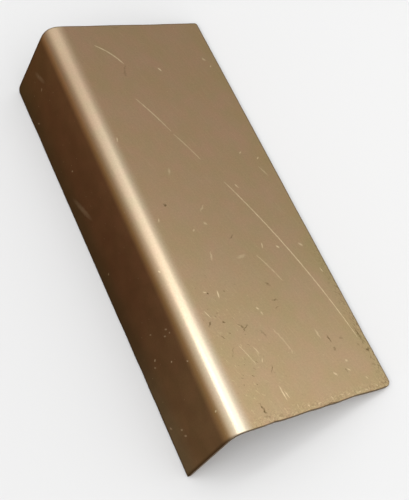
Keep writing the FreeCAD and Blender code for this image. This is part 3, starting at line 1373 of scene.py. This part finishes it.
    def edge_flecks(self, sight: Sight, colour: Socket) -> Socket:
        """Dark and golden flecks where the near end and the long free edge were handled most; along these
        edges the golden ones are also a painted highlight of the rolled rim.

        Sparser ones lie over the part beside the bend.

        Args:
            sight: The shaded place.
            colour: The skin's colour.

        Returns:
            The colour with its flecks.
        """
        bench, reaches = sight.bench, self.reaches
        near = bench.times(
            sight.along_step(reaches.near_flecks), sight.across_step(reaches.near_flecks_across))
        free = bench.times(
            sight.across_step(reaches.free_edge_flecks_across),
            sight.along_step(reaches.free_edge_flecks))
        beside_bend = bench.times(
            sight.across_step(reaches.sparse_flecks_rise),
            sight.across_step(reaches.sparse_flecks_fall))
        beside_bend = bench.times(beside_bend, sight.along_step(reaches.sparse_flecks))
        place = sight.drifted(self.fleck_drift)
        golden_part = bench.math("MULTIPLY_ADD", free, self.golden_free_edge_share, near)
        golden = bench.times(self.golden_flecks.lay(sight, place), golden_part)
        sparse = self.sparse_golden_flecks.lay(sight, place)
        golden = bench.math("MULTIPLY_ADD", sparse, beside_bend, golden)
        dark_part = bench.math("MULTIPLY_ADD", near, self.dark_near_end_share, free)
        dark = bench.times(self.dark_flecks.lay(sight, place), dark_part)
        sparse = self.sparse_dark_flecks.lay(sight, place)
        dark = bench.math("MULTIPLY_ADD", sparse, beside_bend, dark)
        dark = bench.times(dark, self.dark_fleck_share, clamp=True)
        golden = bench.times(golden, self.golden_fleck_share, clamp=True)
        return bench.blend(golden, bench.blend(dark, colour, self.stain), self.golden_fleck_and_rim_highlight)

    def marked(self, sight: Sight, colour: Socket, masks: dict[MarkKind, Socket]) -> Socket:
        """Lays rub lines, specks, smears, stains and scratches over a colour.

        Args:
            sight: The shaded place.
            colour: The skin's colour.
            masks: Masks of the listed marks.

        Returns:
            The marked colour.
        """
        bench = sight.bench
        on_short = sight.across_step(self.reaches.short_side)
        pale = bench.blend(on_short, self.rubbed, self.rubbed_in_painted_shade)
        lines = self.rub_lines.lay(sight, sight.place)
        lines = bench.times(lines, bench.lerp(on_short, self.rub_line_share, 0.0))
        specks = bench.put(
            sight.effects.specks, Place=sight.place, Spacing=self.speck_spacing,
            Size=self.speck_size, Share=self.specks_kept)
        colour = bench.blend(lines, colour, pale)
        colour = bench.blend(bench.times(specks, self.speck_share), colour, pale)
        colour = bench.blend(masks[RUB], colour, pale)
        colour = bench.blend(masks[STAIN], colour, self.stain)
        # Scratches are bare metal with a painted glint, lighter than the flange around them.
        return bench.blend(masks[SCRATCH], colour, self.bare)

    def rimmed(self, sight: Sight, colour: Socket) -> Socket:
        """Darkens the outside skin where it rolls over into the sheared rim.

        Args:
            sight: The shaded place.
            colour: The skin's colour.

        Returns:
            The colour with its dark rim.
        """
        bench, reaches = sight.bench, self.reaches
        on_short = sight.across_step(reaches.short_side)
        at_near_end = bench.times(
            sight.along_step(reaches.near_rim), sight.across_step(reaches.near_rim_across))
        reach = bench.lerp(on_short, reaches.rim_long, reaches.rim_short)
        reach = bench.lerp(at_near_end, reach, reaches.rim_near_end)
        nearness = bench.step(sight.rim_gap, reach, reaches.rim_full)
        rim = bench.blend(on_short, self.sheared, self.dark_rim)
        return bench.blend(bench.times(nearness, self.rim_share), colour, rim)

    def peel(self, sight: Sight) -> Socket:
        """Normals of a fine unevenness, which is stronger over the stretched bend.

        Args:
            sight: The shaded place.

        Returns:
            The normals.
        """
        bench, reaches = sight.bench, self.reaches
        on_bend = bench.times(
            sight.across_step(reaches.bend_peel_rise), sight.across_step(reaches.bend_peel_fall))
        height = bench.times(sight.grain(self.peel_size), bench.lerp(on_bend, self.flat_peel, 1.0))
        fed = {"Height": height, "Strength": 1.0, "Distance": self.peel_height}
        return bench.run("ShaderNodeBump", fed)

    def dress(self, piece: bpy.types.Object, effects: Effects) -> None:
        """Gives the piece its one material.

        Args:
            piece: The folded sheet.
            effects: The shared shader groups.
        """
        material = bpy.data.materials.new("satin bronze")
        material.use_nodes = True
        bench = Bench(material.node_tree)
        sight = Sight.on(bench, effects)
        masks = self.mark_masks(sight)
        grain = sight.grain(self.grain_size)

        outside = bench.scaled(self.outside_colour(sight), bench.lerp(grain, *self.grain_swing))
        outside = self.marked(sight, self.edge_flecks(sight, outside), masks)
        outside = self.rimmed(sight, outside)
        patches = bench.lerp(self.inside_patches.lay(sight), *self.inside_swing)
        inside = bench.scaled(self.bare_metal(sight), patches)
        wall = bench.scaled(self.sheared, bench.lerp(grain, *self.wall_swing))
        is_inside = bench.step(sight.depth, *self.reaches.inside)
        colour = bench.blend(bench.step(sight.depth, *self.reaches.wall), outside, wall)
        colour = bench.blend(is_inside, colour, inside)

        rough = bench.lerp(grain, *self.roughness)
        rough = bench.lerp(masks[SCRATCH], rough, self.scratch_roughness)
        rough = bench.lerp(masks[STAIN], rough, self.stain_roughness)
        rough = bench.lerp(is_inside, rough, self.inside_roughness)

        fed = {
            "Base Color": colour, "Metallic": 1.0, "Roughness": rough,
            "Specular Tint": self.edge_tint, "Normal": self.peel(sight),
        }
        shader = bench.run("ShaderNodeBsdfPrincipled", fed)
        bench.feed(bench.node("ShaderNodeOutputMaterial").inputs["Surface"], shader)
        piece.data.materials.append(material)


@dataclass(frozen=True)
class SoftGlow:
    """One soft brightening of the studio's dome."""

    middle: Point
    strength: float
    sharpness: float


def aimed(place: Point, aim: Point) -> Euler:
    """Rotation that points a lamp or a camera from its place at another, with its top up."""
    return (Vector(aim) - Vector(place)).to_track_quat("-Z", "Y").to_euler()


@dataclass(frozen=True)
class SoftBox:
    """A soft white rectangular lamp, whose size is its width and height."""

    name: str
    place: Point
    aim: Point
    size: tuple[float, float]
    radiance: float

    def hang(self) -> None:
        """Hangs the lamp, with its radiance times pi times its area as its watts."""
        light = bpy.data.lights.new(self.name, "AREA")
        light.shape = "RECTANGLE"
        light.size, light.size_y = self.size
        light.energy = self.radiance * math.pi * self.size[0] * self.size[1]
        lamp = bpy.data.objects.new(self.name, light)
        lamp.location = self.place
        lamp.rotation_euler = aimed(self.place, self.aim)
        bpy.context.scene.collection.objects.link(lamp)


@dataclass
class Studio:
    """Floor, world, lamps and the camera at the picture's own place."""

    camera_place: Point = (-0.0696, -0.1684, 0.3913)
    camera_aim: Point = (0.0006, -0.0115, 0.0)
    lens_mm: float = 71.5
    sensor_mm: float = 36.0
    floor_half: float = 20.0
    floor_colour: Colour = (0.67, 0.67, 0.67)
    floor_roughness: float = 0.9
    dome: float = 0.25
    glows: tuple[SoftGlow, ...] = (
        SoftGlow((-0.282, 0.210, 1.0), strength=1.063, sharpness=12.3),
        SoftGlow((0.183, 0.237, 1.0), strength=0.817, sharpness=40.0),
        SoftGlow((0.625, 0.231, 1.0), strength=2.048, sharpness=30.2),
        SoftGlow((-1.0, -0.304, 0.551), strength=1.844, sharpness=5.07),
        SoftGlow((1.0, -0.6, 1.2), strength=0.890, sharpness=2.42),
    )
    lamps: tuple[SoftBox, ...] = (
        SoftBox("side soft box", place=(0.32, -0.16, 0.31), aim=(0.0, 0.0, 0.0),
                size=(0.64, 0.54), radiance=0.340),
        SoftBox("top strip light", place=(-0.014, 0.060, 0.585), aim=(-0.014, 0.0, 0.0),
                size=(0.341, 0.056), radiance=5.14),
    )

    def build(self, effects: Effects) -> None:
        """Sets up everything round the object.

        Args:
            effects: The shared shader groups.
        """
        self.lay_floor()
        self.light_dome(effects)
        for lamp in self.lamps:
            lamp.hang()
        self.stand_camera()
        bpy.context.scene.view_settings.view_transform = "Standard"

    def lay_floor(self) -> None:
        """Lays the plain pale floor as one dull square."""
        half = self.floor_half
        corners = [(-half, -half, 0.0), (half, -half, 0.0), (half, half, 0.0), (-half, half, 0.0)]
        mesh = bpy.data.meshes.new("floor")
        mesh.from_pydata(corners, [], [(0, 1, 2, 3)])
        material = bpy.data.materials.new("pale floor")
        material.use_nodes = True
        shader = material.node_tree.nodes["Principled BSDF"]
        shader.inputs["Base Color"].default_value = (*self.floor_colour, 1.0)
        shader.inputs["Roughness"].default_value = self.floor_roughness
        shader.inputs["Specular IOR Level"].default_value = 0.0
        mesh.materials.append(material)
        floor = bpy.data.objects.new("floor", mesh)
        bpy.context.scene.collection.objects.link(floor)

    def light_dome(self, effects: Effects) -> None:
        """Lights the world as a grey dome with its soft glows.

        Args:
            effects: The shared shader groups.
        """
        world = bpy.data.worlds.new("studio")
        world.use_nodes = True
        bench = Bench(world.node_tree)
        direction = bench.run("ShaderNodeTexCoord", {}, "Generated")
        total: object = self.dome
        for glow in self.glows:
            amount = bench.put(
                effects.glow, Direction=direction, Middle=glow.middle, Sharpness=glow.sharpness,
                Strength=glow.strength)
            total = bench.math("ADD", total, amount)
        background = bench.run("ShaderNodeBackground", {"Color": total})
        bench.feed(bench.node("ShaderNodeOutputWorld").inputs["Surface"], background)
        bpy.context.scene.world = world

    def stand_camera(self) -> None:
        """Puts the camera where the picture was taken from."""
        lens = bpy.data.cameras.new("camera")
        lens.lens = self.lens_mm
        lens.sensor_width = self.sensor_mm
        camera = bpy.data.objects.new("camera", lens)
        camera.location = self.camera_place
        camera.rotation_euler = aimed(self.camera_place, self.camera_aim)
        bpy.context.scene.collection.objects.link(camera)
        bpy.context.scene.camera = camera


def main() -> None:
    """Builds the sheet, dresses it and sets up the studio."""
    logging.basicConfig(level=logging.INFO, format="%(name)s: %(message)s")
    sheet = FoldedSheet()
    piece = sheet.build()
    effects = Effects()
    BronzeFinish().dress(piece, effects)
    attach(piece, "root")
    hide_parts(NODE)
    points, faces = len(piece.data.vertices), len(piece.data.polygons)
    LOG.info("%s has %d points and %d faces", piece.name, points, faces)
    Studio().build(effects)


if __name__ == "__main__":
    main()
